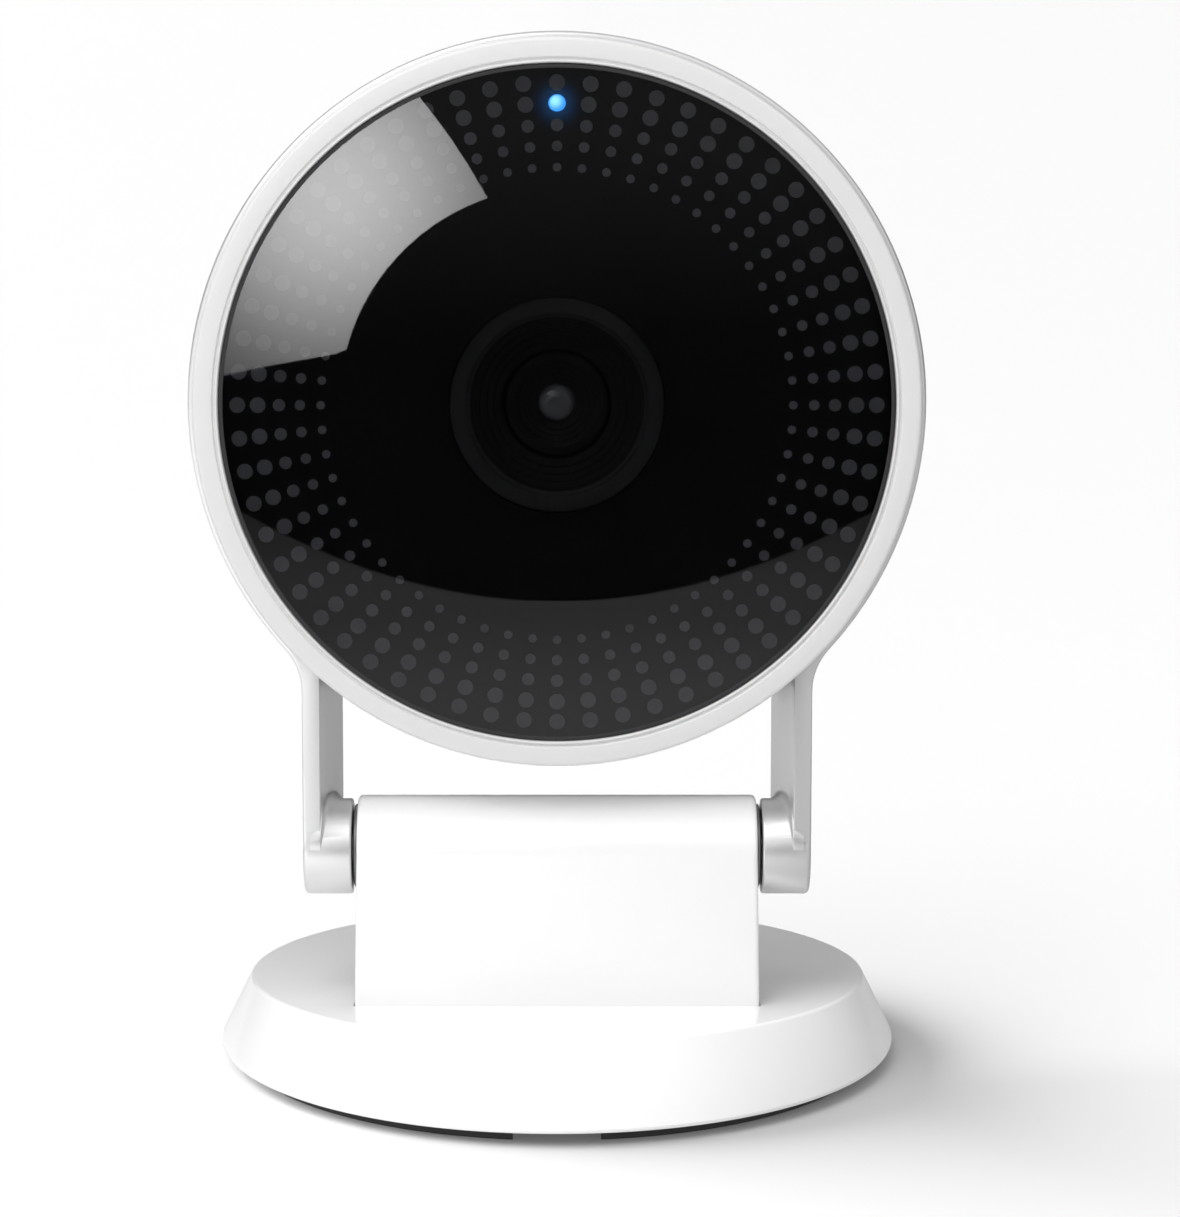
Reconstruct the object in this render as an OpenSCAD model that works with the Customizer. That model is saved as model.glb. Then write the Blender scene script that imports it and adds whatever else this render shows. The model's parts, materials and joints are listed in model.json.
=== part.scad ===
// Round-faced indoor camera on a hinged stand.
// Origin: centre of the base on the table. +Z up, the lens faces -Y. Millimetres.

/* [Base] */
// Radius of the base cover at its lower edge
base_r = 39.35; // [37:0.05:42]
// Height of the base cover's top, measured at the base's centre
base_h = 9.0; // [8:0.1:10]
// Slope of the base's top face, rising to the front
base_slope = 2.7; // [0:0.1:4]
// How far the base's side leans in, per millimetre of height
base_taper = 0.49; // [0.3:0.01:0.6]
// Thickness of the rubber foot
foot_t = 1.5; // [1:0.1:2]
// Outer radius of the rubber foot
foot_r = 37.1; // [36:0.1:37.1]

/* [Neck and hinge] */
// Height of the hinge axis above the table
hinge_z = 27.1; // [25:0.1:32]
// Place of the hinge axis, in front of the base's centre
hinge_y = -13; // [-15:0.5:-10]
// Radius of the white barrel at the top of the neck
barrel_r = 5.8; // [5.6:0.05:6.2]
// Half the length of the barrel
barrel_half = 22.5; // [22:0.1:22.5]
// Half the width of the neck where it enters the base
neck_foot_half = 23; // [22.5:0.1:24]
// Radius of the hinge pins
pin_r = 2; // [1.5:0.1:2.2]

/* [Head] */
// Backward lean of the head at rest
head_lean = 3; // [0:0.5:10]
// Height of the lens axis above the hinge axis, with the head upright
head_rise = 50.45; // [49.5:0.1:53]
// Outer radius of the silver yoke band
band_r = 40.85; // [40.4:0.05:41.5]
// Outer radius of the white bezel and of the rear shell
bezel_r = 40.15; // [40:0.05:40.3]
// Radius of the front glass
glass_r = 37.1; // [36.9:0.05:37.15]
// Rise of the glass's domed front
glass_dome = 0.8; // [0.4:0.1:1.2]

/* [Yoke] */
// Half the distance over the outer faces of the two legs
leg_x = 28.5; // [28:0.1:29.5]
// Radius of the fillet between the band and each leg
leg_fillet = 7; // [5:0.5:9]
// Width of a leg's front face
leg_front_w = 2; // [1.6:0.1:2.6]
// Width of a leg at its rear face
leg_rear_w = 4; // [3.2:0.1:4.2]
// Radius of the hinge bosses
boss_r = 5.4; // [5.3:0.05:5.6]

/* [Moving parts] */
// Travel of the reset button
reset_travel = 0.6; // [0.4:0.1:0.6]
// Distance between the two filters of the infrared-cut carriage
filter_pitch = 6.2; // [6.1:0.05:6.3]

/* [Hidden] */
$fn = 96;
eps = 0.01;

// Base and neck
plate_t = 1.4;
plate_top = foot_t + plate_t;
cover_wall = 1.8;
cover_edge = 0.4;
fit_gap = 0.15;
foot_inner_r = 29.5;
notch_w = 9.6;
base_screw_r = 33.5;
base_screw_angles = [90, 210, 330];
base_screw_head = 2.1;
base_screw_shank = 1;
base_screw_len = 4.2;
base_post_r = 2.6;
neck_screw_head = 2.7;
neck_screw_shank = 1.25;
neck_screw_len = 8;
sink_gap = 0.2;
slip = 0.3;
through = 20;
ballast_r = 30.4;
ballast_t = 2.7;
neck_d = 2 * barrel_r;
flange_x = 26;
flange_y = 8.6;
flange_t = 1.8;
core_x = 18;
core_y = 3.7;
core_top = hinge_z - 7.6;
neck_screw_x = 12;

// Hinge, measured from the middle of the barrel along X
boss_in = 23.1;
boss_edge = 0.5;
pocket_r = 3.6;
pocket_x = leg_x - 2.4;
bush_r = 3.4;
bush_in = 14;
bush_out = 22.3;
pin_in = 10;
barrel_edge = 0.6;
collar_r = 4.6;
collar_t = 0.45;
washer_in = 12.1;
washer_r = 3;
washer_t = 0.35;
washer_pitch = 0.45;
washer_count = 4;
run_gap = 0.05;
press_gap = 0.03;
cap_t = 1.2;

// Head: w is the distance forward of the hinge axis, along the lens axis
yoke_w = 5.25;
band_t = 2.4;
yoke_screw_angles = [15, 90, 165];
yoke_screw_back = 2.5;
yoke_screw_shank = 0.75;
yoke_screw_len = 2.9;
skin_gap = 0.15;
frame_r = band_r - band_t - skin_gap;
frame_wall = 1.4;
frame_in = frame_r - frame_wall;
bezel_front = 7.5;
bezel_seat = 4.2;
glass_seat = 6.1;
glass_edge_t = 1.1;
shell_wall = 1.8;
shell_corner = bezel_r - 33.2;
shell_corner_w = -7;
shell_crown = 1;
shell_back = 16;
shell_rim_w = -6.6;
shell_post_w = -13;
rear_post_r = 33.5;
rear_post_size = 2.4;
rear_post_angles = [45, 135, 225, 315];
bridge_x = 23.7;
bezel_edge = 0.35;
glass_bed = 0.7;
glass_gap = 0.1;
small_head = 1.5;
small_shank = 0.75;

// Parts inside the head
mask_r = 36.2;
led_board_in = 15;
led_board_w = 0.8;
led_board_t = 1;
main_board_w = -7;
main_board_t = 1.2;
main_board_r = 30.6;
chip_t = 1.2;
sensor_board_w = -9;
status_u = 32.95;
status_hole_r = 0.95;
trim_r = 11.95;
trim_in = 9.97;
trim_flange_r = 16.5;
trim_front = 5.6;
lens_r = 5.7;
lens_bore = 3.6;
lens_front_r = 2;
lens_back = -5.5;
thread_r = 5;
holder_x = 13;
holder_u = 7;
chamber_x = 10.5;
lens_screw_x = 11.75;
chamber_u = 5.4;
carriage_w = -7.15;
carriage_t = 1.1;
window_r = 3;
ir_ring_r = 21.5;
ir_led_r = 1.7;
ir_count = 8;
ir_angles = [for (i = [0:ir_count - 1]) (i + 0.5) * 360 / ir_count];
ir_led_h = 1.9;
led_post_r = 31;
led_post_angles = [20, 160, 200, 340];
small_post_r = 1.7;
board_post_r = 27;
board_post_angles = [55, 215, 325];
antenna_from = 97;
antenna_sweep = 32;
speaker_u = 19;
speaker_r = 9.5;
usb_u = -24;
usb_x = 4;
usb_h = 1.5;
reset_x = 12;
reset_u = -24;
reset_r = 1.5;
card_w = -8.55;
card_t = 0.8;
card_half = 5.5;
card_len = 15;
card_out = -40.35;

// Colours
white = [0.93, 0.93, 0.92];
silver = [0.74, 0.74, 0.75];
black = [0.05, 0.05, 0.055];
rubber = [0.2, 0.2, 0.2];
steel = [0.6, 0.61, 0.63];
board_green = [0.06, 0.25, 0.14];
brass = [0.72, 0.58, 0.28];

// Children move from head coordinates (hinge axis at the origin, upright) to their place.
module in_head() {
    translate([0, hinge_y, hinge_z]) rotate([-head_lean, 0, 0]) children();
}

// Children are drawn looking at the glass: X right, Y up from the lens axis, +Z forward.
module on_lens_axis(w = 0) {
    in_head() translate([0, -w, head_rise]) rotate([90, 0, 0]) children();
}

// Children are drawn with +Z along the hinge, pointing out of the right boss.
module on_hinge(x = 0) {
    in_head() translate([x, 0, 0]) rotate([0, 90, 0]) children();
}

module both_sides() {
    children();
    mirror([1, 0, 0]) children();
}

module ring(outer, inner, h) {
    difference() {
        cylinder(r = outer, h = h);
        translate([0, 0, -1]) cylinder(r = inner, h = h + 2);
    }
}

module block(x, y, z) {
    translate([-x / 2, -y / 2, 0]) cube([x, y, z]);
}

module around(r, angles) {
    for (a = angles) rotate([0, 0, a]) translate([r, 0, 0]) children();
}

// A pan-head screw: its head starts at z = 0 and its shank runs up.
module screw(head_r, head_h, shank_r, shank_h) {
    difference() {
        union() {
            cylinder(r = head_r, h = head_h);
            cylinder(r = shank_r, h = head_h + shank_h);
        }
        for (a = [0, 90]) rotate([0, 0, a])
            translate([0, 0, -eps]) block(head_r * 1.3, head_r * 0.3, head_h * 0.55);
    }
}

// ---- Base ----

module rubber_foot() color(rubber) difference() {
    ring(foot_r, foot_inner_r, foot_t);
    translate([0, 0, -1]) linear_extrude(foot_t + 2)
        polygon([[-notch_w / 2 + 1, -foot_inner_r + 2], [notch_w / 2 - 1, -foot_inner_r + 2],
                 [notch_w / 2, -foot_r - 1], [-notch_w / 2, -foot_r - 1]]);
}

module base_plate() color(black) translate([0, 0, foot_t]) difference() {
    cylinder(r = foot_r, h = plate_t);
    around(base_screw_r, base_screw_angles) translate([0, 0, -1]) {
        cylinder(r = base_screw_shank + slip, h = plate_t + 2);
        cylinder(r = base_screw_head + sink_gap, h = 1.8);
    }
    for (x = [-neck_screw_x, neck_screw_x]) translate([x, hinge_y, -1]) {
        cylinder(r = neck_screw_shank + slip, h = plate_t + 2);
        cylinder(r = neck_screw_head + slip, h = 1.9);
    }
}

module base_screws() color(steel)
    around(base_screw_r, base_screw_angles) translate([0, 0, foot_t])
        screw(base_screw_head, 0.75, base_screw_shank, base_screw_len);

module ballast_weight() color(steel) translate([0, 0, plate_top]) difference() {
    cylinder(r = ballast_r, h = ballast_t);
    translate([0, hinge_y, -1]) block(2 * flange_x + 1, 2 * flange_y + 1, ballast_t + 2);
}

// The solid under the sloping top, inset by t from the outer surface and open below.
module base_body(t) {
    low_r = base_r - t;
    low_z = foot_t - t;
    top_z = base_h + 4;
    difference() {
        rotate_extrude() polygon([[0, low_z], [low_r, low_z], [low_r, foot_t + cover_edge],
            [low_r - base_taper * (top_z - foot_t - cover_edge), top_z], [0, top_z]]);
        translate([0, 0, base_h - t]) rotate([-base_slope, 0, 0])
            block(3 * base_r, 3 * base_r, through);
    }
}

module base_cover() color(white) difference() {
    union() {
        difference() {
            base_body(0);
            base_body(cover_wall);
            translate([0, 0, foot_t - 1]) cylinder(r = foot_r + fit_gap, h = plate_t + 1.05);
        }
        intersection() {
            base_body(cover_wall / 2);
            around(base_screw_r, base_screw_angles) translate([0, 0, plate_top + 0.05])
                cylinder(r = base_post_r, h = base_h);
        }
    }
    around(base_screw_r, base_screw_angles) translate([0, 0, foot_t])
        cylinder(r = base_screw_shank + 0.05, h = base_screw_len + 1.2);
    translate([0, hinge_y, foot_t])
        block(2 * neck_foot_half + 2 * fit_gap, neck_d + 2 * fit_gap, base_h + 4);
}

// ---- Neck ----

module neck_core() color(silver) translate([0, hinge_y, 0]) difference() {
    translate([0, 0, plate_top]) block(2 * core_x, 2 * core_y, core_top - plate_top);
    for (x = [-neck_screw_x, neck_screw_x]) translate([x, 0, plate_top - 1])
        cylinder(r = neck_screw_shank + 0.05, h = neck_screw_len + 2);
}

module neck_screws() color(steel)
    for (x = [-neck_screw_x, neck_screw_x]) translate([x, hinge_y, foot_t])
        screw(neck_screw_head, 0.85, neck_screw_shank, neck_screw_len);

module neck_shell() color(white) translate([0, hinge_y, 0]) difference() {
    union() {
        translate([0, barrel_r, 0]) rotate([90, 0, 0]) linear_extrude(neck_d)
            polygon([[-neck_foot_half, plate_top], [neck_foot_half, plate_top],
                     [neck_foot_half, base_h], [barrel_half, hinge_z - barrel_r], [barrel_half, hinge_z],
                     [-barrel_half, hinge_z], [-barrel_half, hinge_z - barrel_r], [-neck_foot_half, base_h]]);
        translate([-barrel_half, 0, hinge_z]) rotate([0, 90, 0]) rotate_extrude()
            polygon([[0, 0], [barrel_r - barrel_edge, 0], [barrel_r, barrel_edge],
                     [barrel_r, 2 * barrel_half - barrel_edge], [barrel_r - barrel_edge, 2 * barrel_half],
                     [0, 2 * barrel_half]]);
        translate([0, 0, plate_top]) block(2 * flange_x, 2 * flange_y, flange_t);
    }
    translate([0, 0, plate_top - 1])
        block(2 * core_x + 2 * fit_gap, 2 * core_y + 2 * fit_gap, core_top - plate_top + 1 + fit_gap);
    both_sides() translate([pin_in - 1, 0, hinge_z]) rotate([0, 90, 0]) cylinder(r = bush_r, h = through);
}

module hinge_bushes() color(brass) both_sides() on_hinge(bush_in)
    ring(bush_r - 0.02, pin_r + run_gap, bush_out - bush_in);

module hinge_collars() color([0.5, 0.5, 0.52]) both_sides() on_hinge(barrel_half)
    ring(collar_r, pin_r + slip, collar_t);

module spring_washers() color(steel) both_sides()
    for (i = [0:washer_count - 1])
        on_hinge(washer_in + washer_pitch * i) ring(washer_r, pin_r + 0.15, washer_t);

// ---- Yoke and its hinge parts, in the head ----

// Children point outwards through the band, from distance r off the lens axis.
module yoke_screw_place(r) {
    for (a = yoke_screw_angles) translate([0, yoke_screw_back, head_rise]) rotate([0, -a, 0])
        translate([r, 0, 0]) rotate([0, 90, 0]) children();
}

// Front outline of the band and both legs, with the hinge axis at the origin.
module yoke_outline() {
    fillet_x = leg_x + leg_fillet;
    reach = band_r + leg_fillet;
    fillet_z = head_rise - sqrt(reach * reach - fillet_x * fillet_x);
    leg_join = 30;
    difference() {
        union() {
            difference() {
                translate([0, head_rise]) circle(r = band_r, $fn = 180);
                translate([-leg_x, -through]) square([2 * leg_x, through + fillet_z + leg_fillet]);
            }
            both_sides() difference() {
                polygon([[leg_x - leg_rear_w, 0], [leg_x, 0], [leg_x, fillet_z], [fillet_x, fillet_z],
                         [fillet_x * band_r / reach, head_rise + (fillet_z - head_rise) * band_r / reach],
                         [leg_x - 1, leg_join], [leg_x - leg_rear_w, leg_join]]);
                translate([fillet_x, fillet_z]) circle(r = leg_fillet);
            }
        }
        translate([0, head_rise]) circle(r = band_r - band_t, $fn = 180);
    }
}

module yoke_frame() color(silver) in_head() difference() {
    union() {
        difference() {
            translate([0, yoke_w, 0]) rotate([90, 0, 0]) linear_extrude(2 * yoke_w) yoke_outline();
            // the inner faces slant from a narrow front edge to a wide rear edge
            both_sides() translate([0, 0, -1]) linear_extrude(24)
                polygon([[through, -yoke_w - 1], [leg_x - leg_front_w, -yoke_w - 1],
                         [leg_x - leg_front_w - 0.1, -yoke_w], [leg_x - leg_rear_w + 0.7, 0],
                         [leg_x - leg_rear_w, yoke_w - boss_edge], [through, yoke_w - boss_edge]]);
        }
        both_sides() translate([boss_in, 0, 0]) rotate([0, 90, 0]) rotate_extrude()
            polygon([[0, 0], [boss_r - 0.3, 0], [boss_r, 0.3], [boss_r, leg_x - boss_in - boss_edge],
                     [boss_r - boss_edge, leg_x - boss_in], [0, leg_x - boss_in]]);
    }
    both_sides() translate([boss_in - 1, 0, 0]) rotate([0, 90, 0]) cylinder(r = pin_r + press_gap, h = 10);
    both_sides() translate([pocket_x, 0, 0]) rotate([0, 90, 0]) cylinder(r = pocket_r, h = 5);
    // blind holes for the screws that hold the band from inside the head
    yoke_screw_place(frame_r - 1) cylinder(r = yoke_screw_shank + press_gap, h = band_t + 0.6);
}

module hinge_pin() color(steel) {
    cylinder(r = pin_r, h = pocket_x - pin_in + 0.5);
    translate([0, 0, pocket_x - pin_in]) cylinder(r = 3.3, h = 1);
}
module hinge_pin_right() on_hinge(pin_in) hinge_pin();
module hinge_pin_left() mirror([1, 0, 0]) on_hinge(pin_in) hinge_pin();

module hinge_nuts() color(steel) both_sides() on_hinge(pin_in + 0.3) difference() {
    cylinder(r = 2.95, h = 1.6, $fn = 6);
    translate([0, 0, -1]) cylinder(r = pin_r + press_gap, h = 4);
}

module boss_caps() color(silver) both_sides() on_hinge(pocket_x + 1.1)
    rotate_extrude() polygon([[0, 0], [pocket_r - run_gap, 0], [pocket_r - run_gap, cap_t - 0.3],
                              [pocket_r - run_gap - 0.3, cap_t], [0, cap_t]]);

module yoke_screws() color(steel) in_head() yoke_screw_place(frame_in - 0.65)
    screw(small_head, 0.6, yoke_screw_shank, yoke_screw_len);

// ---- Head casing ----

module mid_frame() color(white) difference() {
    on_lens_axis() mid_frame_body();
    in_head() yoke_screw_place(frame_in - 2) cylinder(r = yoke_screw_shank + 0.15, h = 6);
}

module mid_frame_body() difference() {
    union() {
        translate([0, 0, -yoke_w]) ring(frame_r, frame_in, yoke_w + bezel_seat);
        // between the legs the frame is flush with the bezel
        intersection() {
            translate([0, 0, -yoke_w]) ring(bezel_r - 0.15, frame_in + 0.5, 2 * yoke_w);
            translate([0, -bezel_r, -yoke_w]) block(2 * bridge_x, bezel_r, 2 * yoke_w);
        }
        around(rear_post_r, rear_post_angles) translate([0, 0, -yoke_w]) {
            cylinder(r = rear_post_size, h = 5.8);
            translate([0, -1.2, 0]) cube([frame_in - rear_post_r + 0.5, 2.4, 5.8]);
        }
    }
    // the bezel's skirt drops in above the seat
    translate([0, 0, bezel_seat]) cylinder(r = frame_r, h = 4);
    around(rear_post_r, rear_post_angles) translate([0, 0, -yoke_w - 1]) cylinder(r = 0.8, h = 6);
    // sound hole of the microphone
    translate([0, -frame_in + 1, 0]) rotate([90, 0, 0]) cylinder(r = 0.5, h = 6);
}

module bezel_ring() color(white) on_lens_axis() rotate_extrude($fn = 180) polygon([
    [glass_r - glass_bed, bezel_seat], [frame_r, bezel_seat], [frame_r, yoke_w], [bezel_r, yoke_w],
    [bezel_r, bezel_front - bezel_edge], [bezel_r - bezel_edge, bezel_front],
    [glass_r + 0.65, bezel_front], [glass_r + 0.5, bezel_front - 0.15], [glass_r + 0.4, bezel_front - 0.02],
    [glass_r + 0.2, bezel_front - 0.1], [glass_r + glass_gap, bezel_front - 0.25],
    [glass_r + glass_gap, glass_seat], [glass_r - glass_bed, glass_seat]]);

// Points of the rear shell's outline at distance t inside its outer surface, from its edge to the axis.
function corner_arc(t) = [for (a = [0:-10:-90])
    [bezel_r - shell_corner + (shell_corner - t) * cos(a), shell_corner_w + (shell_corner - t) * sin(a)]];
function crown_w(r, t) = shell_corner_w - shell_corner + t
    - shell_crown * (1 - pow(r / (bezel_r - shell_corner), 2));
function crown_arc(t) = [for (i = [1:6])
    let (r = (bezel_r - shell_corner) * (1 - i / 6)) [r, crown_w(r, t)]];
function reversed(list) = [for (i = [len(list) - 1:-1:0]) list[i]];

module grille_holes() {
    pitch = 2.3;
    row_step = 0.866;
    field_r = 7.2;
    for (row = [-3:3]) for (col = [-3:3]) {
        x = pitch * (col + 0.5 * (row % 2));
        y = pitch * row_step * row;
        if (norm([x, y]) < field_r) translate([x, y, 0]) cylinder(r = 0.6, h = 6, $fn = 24);
    }
}

module rear_shell() color(white) on_lens_axis() difference() {
    union() {
        rotate_extrude($fn = 180) polygon(concat([[bezel_r, -yoke_w]], corner_arc(0), crown_arc(0),
            reversed(crown_arc(shell_wall)), reversed(corner_arc(shell_wall)),
            [[bezel_r - shell_wall, shell_rim_w], [frame_in, shell_rim_w], [frame_in, -yoke_w]]));
        around(rear_post_r, rear_post_angles) translate([0, 0, shell_post_w])
            cylinder(r = rear_post_size, h = -shell_post_w - yoke_w);
        around(board_post_r, board_post_angles) translate([0, 0, shell_post_w])
            cylinder(r = small_post_r, h = main_board_w - shell_post_w);
    }
    around(rear_post_r, rear_post_angles) translate([0, 0, -shell_back]) {
        cylinder(r = 1.1, h = shell_back);
        cylinder(r = 1.9, h = shell_back - 10);
    }
    around(board_post_r, board_post_angles) translate([0, 0, -12]) cylinder(r = 0.8, h = 6);
    translate([0, speaker_u, -shell_back]) grille_holes();
    translate([0, usb_u, -shell_back]) block(2 * usb_x + 0.8, 2 * usb_h + 0.8, 6);
    translate([reset_x, reset_u, -shell_back]) cylinder(r = reset_r + 0.15, h = 6);
    translate([-36, 0, card_w - 0.25]) translate([-6, -card_half - 0.2, 0])
        cube([8, 2 * card_half + 0.4, card_t + 0.5]);
}

module rear_screws() color(steel) on_lens_axis()
    around(rear_post_r, rear_post_angles) translate([0, 0, -11.6]) screw(1.75, 1.3, 0.78, 8.6);

// ---- Glass, mask and lights ----

function glass_front(r) = glass_seat + glass_edge_t + glass_dome * (1 - pow(r / glass_r, 2));

module front_glass() color([0.02, 0.02, 0.025]) on_lens_axis() rotate_extrude($fn = 180)
    polygon(concat([[0, glass_seat], [glass_r, glass_seat]],
                   [for (i = [12:-1:0]) [glass_r * i / 12, glass_front(glass_r * i / 12)]]));

module dot_mask() color(black) on_lens_axis(glass_seat - 0.35) difference() {
    ring(mask_r, trim_r + run_gap, 0.3);
    translate([0, status_u, -1]) cylinder(r = status_hole_r, h = 3);
}

module front_frame() color(black) on_lens_axis() difference() {
    union() {
        translate([0, 0, 4.3]) ring(mask_r - 0.1, trim_r + 0.35, 1.4);
        around(led_post_r, led_post_angles) translate([0, 0, led_board_w + led_board_t])
            cylinder(r = small_post_r, h = 3);
    }
    around(led_post_r, led_post_angles) translate([0, 0, 0]) cylinder(r = 0.8, h = 4.6);
    around(ir_ring_r, ir_angles)
        translate([0, 0, 3]) cylinder(r = ir_led_r + 0.5, h = 4);
    translate([0, status_u, 3]) cylinder(r = status_hole_r + 0.1, h = 4);
}

module led_board() color(board_green) on_lens_axis(led_board_w) difference() {
    ring(mask_r - 0.4, led_board_in, led_board_t);
    around(led_post_r, led_post_angles) translate([0, 0, -1]) cylinder(r = 0.95, h = 3);
    translate([0, -36.5, -1]) block(8, 11, 3);
}

module led_board_screws() color(steel) on_lens_axis(led_board_w - 0.7)
    around(led_post_r, led_post_angles) screw(small_head, 0.7, small_shank, 3.2);

module ir_leds() color([0.3, 0.26, 0.3]) on_lens_axis(led_board_w + led_board_t)
    around(ir_ring_r, ir_angles) {
        cylinder(r = ir_led_r, h = ir_led_h);
        intersection() {
            translate([0, 0, ir_led_h]) sphere(r = ir_led_r, $fn = 48);
            cylinder(r = ir_led_r + 1, h = 5);
        }
    }

module status_led() color([0.3, 0.6, 1]) on_lens_axis(led_board_w + led_board_t)
    translate([0, status_u, 0]) block(2, 1.2, 0.7);

module light_pipe() color([0.6, 0.8, 1]) on_lens_axis(2.6) translate([0, status_u, 0]) {
    cylinder(r = 0.8, h = 3.4);
    translate([0, 0, 0.3]) cylinder(r = 1.5, h = 0.6);
}

module led_flex() color([0.6, 0.4, 0.1]) on_lens_axis() translate([26, -8, 0]) rotate([90, 0, 0])
    linear_extrude(5) polygon([[0, led_board_w], [0.2, led_board_w], [0.2, -0.4], [1.2, -1.4],
        [1.2, main_board_w + main_board_t], [1, main_board_w + main_board_t], [1, -1.3], [0, -0.3]]);

// ---- Lens and sensor ----

module lens_trim() color(black) on_lens_axis() rotate_extrude() polygon([
    [lens_r + slip, 1.8], [trim_flange_r, 1.8], [trim_flange_r, 2.4], [trim_r, 2.4], [trim_r, trim_front],
    [trim_in, trim_front], [trim_in, 5], [lens_r + slip, 3.4]]);

module lens_barrel() color(black) on_lens_axis() rotate_extrude() polygon([
    [lens_bore, lens_back], [thread_r, lens_back], [thread_r, -1], [lens_r, -1], [lens_r, 2.8],
    [lens_r - 0.2, 3], [4.6, 3], [2.1, 1.7], [2.1, 1.2], [lens_bore, 1.2]]);

module lens_front() color([0.1, 0.1, 0.14]) on_lens_axis() {
    translate([0, 0, -0.2]) cylinder(r = lens_bore - press_gap, h = 1.35);
    intersection() {
        sphere(r = lens_front_r + 0.6);
        cylinder(r = lens_front_r, h = 4);
    }
}

// A lens whose two faces bulge (or dip) by sag, on a rim of thickness t.
module lens_disc(r, t, sag) rotate_extrude() polygon(concat(
    [for (i = [0:8]) [r * i / 8, -sag * (1 - pow(i / 8, 2))]],
    [for (i = [8:-1:0]) [r * i / 8, t + sag * (1 - pow(i / 8, 2))]]));

module lens_middle() color([0.1, 0.1, 0.14]) on_lens_axis(-1.9) lens_disc(lens_bore - press_gap, 1.1, -0.2);
module lens_rear() color([0.1, 0.1, 0.14]) on_lens_axis(-3.9) lens_disc(lens_bore - press_gap, 0.9, 0.35);
module lens_retainer() color(black) on_lens_axis(-5.2) ring(lens_bore - press_gap, 2.6, 0.6);

module lens_holder() color(black) on_lens_axis() difference() {
    translate([0, 0, sensor_board_w + 1]) block(2 * holder_x, 2 * holder_u, 7);
    translate([0, 0, -6]) cylinder(r = thread_r + 0.05, h = 6);
    translate([0, 0, sensor_board_w]) block(2 * chamber_x, 2 * chamber_u, 3.2);
    for (x = [-lens_screw_x, lens_screw_x]) translate([x, 0, sensor_board_w]) cylinder(r = 0.7, h = 5);
}

module lens_screws() color(steel) for (x = [-lens_screw_x, lens_screw_x])
    on_lens_axis(sensor_board_w - 0.7) translate([x, 0, 0]) screw(1.2, 0.7, 0.65, 4.5);

module filter_carriage() color([0.15, 0.15, 0.16]) on_lens_axis(carriage_w) difference() {
    translate([-4, -5, 0]) cube([filter_pitch + 8, 10, carriage_t]);
    for (x = [0, filter_pitch]) translate([x, 0, -1]) cylinder(r = window_r - 0.25, h = 3);
    for (x = [0, filter_pitch]) translate([x, 0, 0.5]) cylinder(r = window_r - 0.02, h = 3);
}

module filter_glass(x) on_lens_axis(carriage_w + 0.5) translate([x, 0, 0])
    cylinder(r = window_r - run_gap, h = 0.5);
module ir_cut_filter() color([0.55, 0.2, 0.3]) filter_glass(0);
module clear_filter() color([0.7, 0.8, 0.85]) filter_glass(filter_pitch);

module filter_coil() color(brass) on_lens_axis(-5) translate([0, holder_u + 2, 0]) {
    rotate([0, 90, 0]) translate([0, 0, -4]) cylinder(r = 1.8, h = 8);
    for (x = [-4.4, 4.4]) translate([x, 0, -2]) block(0.8, 4, 4);
}

module image_sensor() color([0.2, 0.22, 0.3]) on_lens_axis(sensor_board_w + 1) block(6.4, 5.2, 0.6);

module sensor_board() color(board_green) on_lens_axis(sensor_board_w) difference() {
    block(2 * holder_x + 1, 2 * holder_u + 2, 1);
    for (x = [-lens_screw_x, lens_screw_x]) translate([x, 0, -1]) cylinder(r = 0.75, h = 3);
}

module sensor_flex() color([0.6, 0.4, 0.1]) on_lens_axis() translate([-4, -6.5, 0]) rotate([90, 0, 90])
    linear_extrude(8) polygon([[0, sensor_board_w], [0, sensor_board_w - 0.2], [-4, sensor_board_w - 0.2],
        [-6, main_board_w - 0.2], [-8, main_board_w - 0.2], [-8, main_board_w], [-5.9, main_board_w],
        [-3.9, sensor_board_w]]);

// ---- Main board and what sits on it ----

module main_board() color(board_green) on_lens_axis(main_board_w) difference() {
    cylinder(r = main_board_r, h = main_board_t);
    translate([0, 1.8, -1]) block(2 * holder_x + 2, 21, 4);
    around(board_post_r, board_post_angles) translate([0, 0, -1]) cylinder(r = 0.95, h = 4);
}

module board_screws() color(steel) on_lens_axis(main_board_w + main_board_t + 0.7)
    around(board_post_r, board_post_angles) rotate([180, 0, 0]) screw(small_head, 0.7, small_shank, 4.2);

module main_chip() color(black) on_lens_axis(main_board_w - chip_t) translate([21.5, 0, 0])
    block(12, 12, chip_t);

module heat_sink() color(silver) on_lens_axis(main_board_w - 4.6) translate([21.8, 0, 0]) difference() {
    block(13, 16, 3.4);
    for (y = [-6:3:6]) translate([0, y, -1]) block(14, 1.5, 3.2);
}

module rf_shield() color(steel) on_lens_axis(main_board_w + main_board_t) translate([-22, 3, 0])
    difference() {
        block(12, 16, 2.4);
        translate([0, 0, -1]) block(11.4, 15.4, 3.1);
    }

module wifi_antenna() color(brass) on_lens_axis(-2.5) rotate([0, 0, antenna_from])
    rotate_extrude(angle = antenna_sweep) translate([frame_in - 0.35, 0]) square([0.25, 5]);

module microphone() color(steel) on_lens_axis(-1.5) translate([0, -32.6, 0]) block(4, 2, 3);

module mic_boot() color(rubber) on_lens_axis() translate([0, -33.7, 0]) rotate([90, 0, 0]) difference() {
    cylinder(r = 1.5, h = 2.9);
    translate([0, 0, -1]) cylinder(r = 0.5, h = 6);
}

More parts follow.
